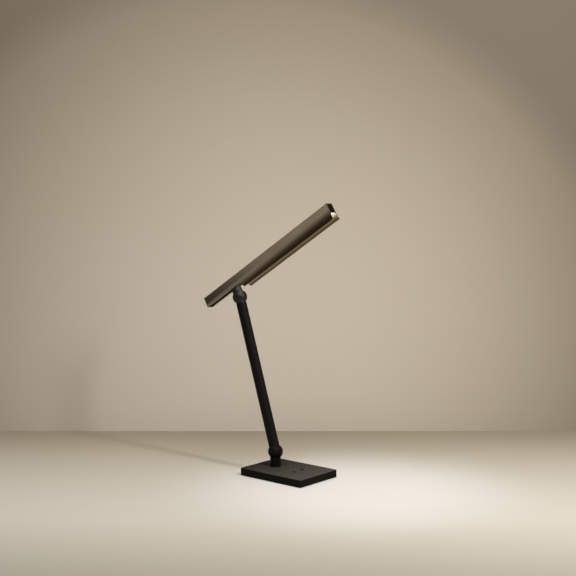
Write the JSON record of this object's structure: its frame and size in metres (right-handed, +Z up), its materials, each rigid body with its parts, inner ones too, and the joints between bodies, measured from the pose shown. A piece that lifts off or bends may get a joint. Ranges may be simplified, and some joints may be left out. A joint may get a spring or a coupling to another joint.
{
  "type": "piano lamp",
  "caption": "Slim adjustable table lamp: rectangular weighted base with push buttons, tube arm on friction ball knuckles, long trough-shaped LED head.",
  "frame": {"origin": "centre of the base pad's underside, where the lamp stands", "axes": "+X along the base towards its button end and the way the head reaches, +Y across the base, +Z up; both hinges turn about Y"},
  "size_m": [0.3073, 0.1014, 0.4844],
  "materials": {
    "base_coat": "satin",
    "arm_coat": "satin",
    "knuckle_coat": "satin",
    "bronze_aluminium": "satin",
    "rubber_pad": "matte",
    "sheet_steel": "satin",
    "dark_steel": "satin",
    "brass": "satin",
    "black_plastic": "matte",
    "button_plastic": "satin",
    "washer_plastic": "matte",
    "board": "satin",
    "white_board": "matte",
    "led_yellow": "satin",
    "diffuser": "satin",
    "wire_skin": "satin"
  },
  "bodies": {
    "base": {"base_plate": "base_coat", "base_pad": "rubber_pad", "base_cover": "sheet_steel", "cover_screws": "dark_steel", "control_board": "board", "board_screws": "dark_steel", "board_components": "black_plastic", "switch_housings": "black_plastic", "power_jack": "black_plastic", "jack_pin": "brass", "post": "arm_coat", "post_washer": "sheet_steel", "post_nut": "sheet_steel", "post_set_screw": "dark_steel", "post_knuckle": "knuckle_coat", "post_knuckle_cap": "knuckle_coat", "lower_pivot": "sheet_steel", "lower_friction_washer": "washer_plastic", "lower_spring_washer": "dark_steel", "lower_pivot_nut": "sheet_steel", "lower_stop_pin": "dark_steel", "base_wire": "wire_skin"},
    "arm": {"arm_tube": "arm_coat", "arm_lower_knuckle": "knuckle_coat", "arm_lower_knuckle_cap": "knuckle_coat", "arm_upper_knuckle": "knuckle_coat", "arm_upper_knuckle_cap": "knuckle_coat", "arm_set_screws": "dark_steel", "arm_wire": "wire_skin"},
    "head": {"neck": "knuckle_coat", "neck_cap": "knuckle_coat", "upper_pivot": "sheet_steel", "upper_friction_washer": "washer_plastic", "upper_spring_washer": "dark_steel", "upper_pivot_nut": "sheet_steel", "upper_stop_pin": "dark_steel", "head_shell": "bronze_aluminium", "front_cap": "black_plastic", "rear_cap": "black_plastic", "tail_cover": "black_plastic", "neck_nut_plate": "sheet_steel", "led_board": "white_board", "led_chips": "led_yellow", "diffuser": "diffuser", "head_wire": "wire_skin"},
    "power_switch_button": {"power_button": "button_plastic", "power_plunger": "black_plastic"},
    "dimmer_switch_button": {"dimmer_button": "button_plastic", "dimmer_plunger": "black_plastic"}
  },
  "joints": [
    {"name": "arm_tilt", "type": "hinge", "parent": "base", "child": "arm", "pos_m": [-0.0307, 0, 0.0403], "axis": [0, 1, 0], "range_deg": [-42.6, 77.4]},
    {"name": "head_tilt", "type": "hinge", "parent": "arm", "child": "head", "pos_m": [-0.11638, 0, 0.31369], "axis": [0, 1, 0], "range_deg": [-46, 74]},
    {"name": "power_press", "type": "slide", "parent": "base", "child": "power_switch_button", "axis": [0, 0, -1], "range_m": [0, 0.0005], "stiffness_N_per_m": 1500, "springref_m": -0.0001},
    {"name": "dimmer_press", "type": "slide", "parent": "base", "child": "dimmer_switch_button", "axis": [0, 0, -1], "range_m": [0, 0.0005], "stiffness_N_per_m": 1500, "springref_m": -0.0001}
  ]
}
